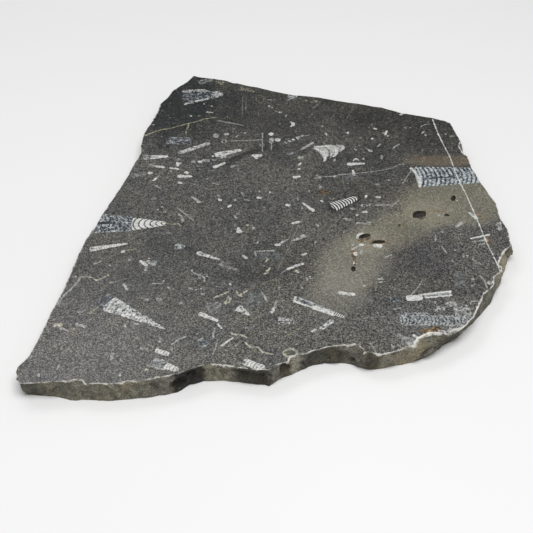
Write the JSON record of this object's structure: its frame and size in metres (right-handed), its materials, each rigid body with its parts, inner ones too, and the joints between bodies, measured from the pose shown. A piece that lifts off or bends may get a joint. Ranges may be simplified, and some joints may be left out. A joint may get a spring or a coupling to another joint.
{
  "type": "polished orthoceras limestone slab",
  "caption": "Flat slab of dark limestone with a polished upper face, a sawn underside and broken edges all round; pale orthoceras shells lie cut through, flush with the polished face.",
  "frame": {"origin": "under the middle of the slab's box, at the height of the sawn underside", "axes": "+Z out of the polished face, +Y from the scalloped front edge in the picture to the long straight back edge, +X to the picture's right"},
  "size_m": [0.4688, 0.493, 0.0215],
  "materials": {
    "limestone": "dark grey-brown limestone, polished on the upper face and rough where it broke"
  },
  "bodies": {
    "root": {"slab": "limestone"}
  },
  "joints": []
}
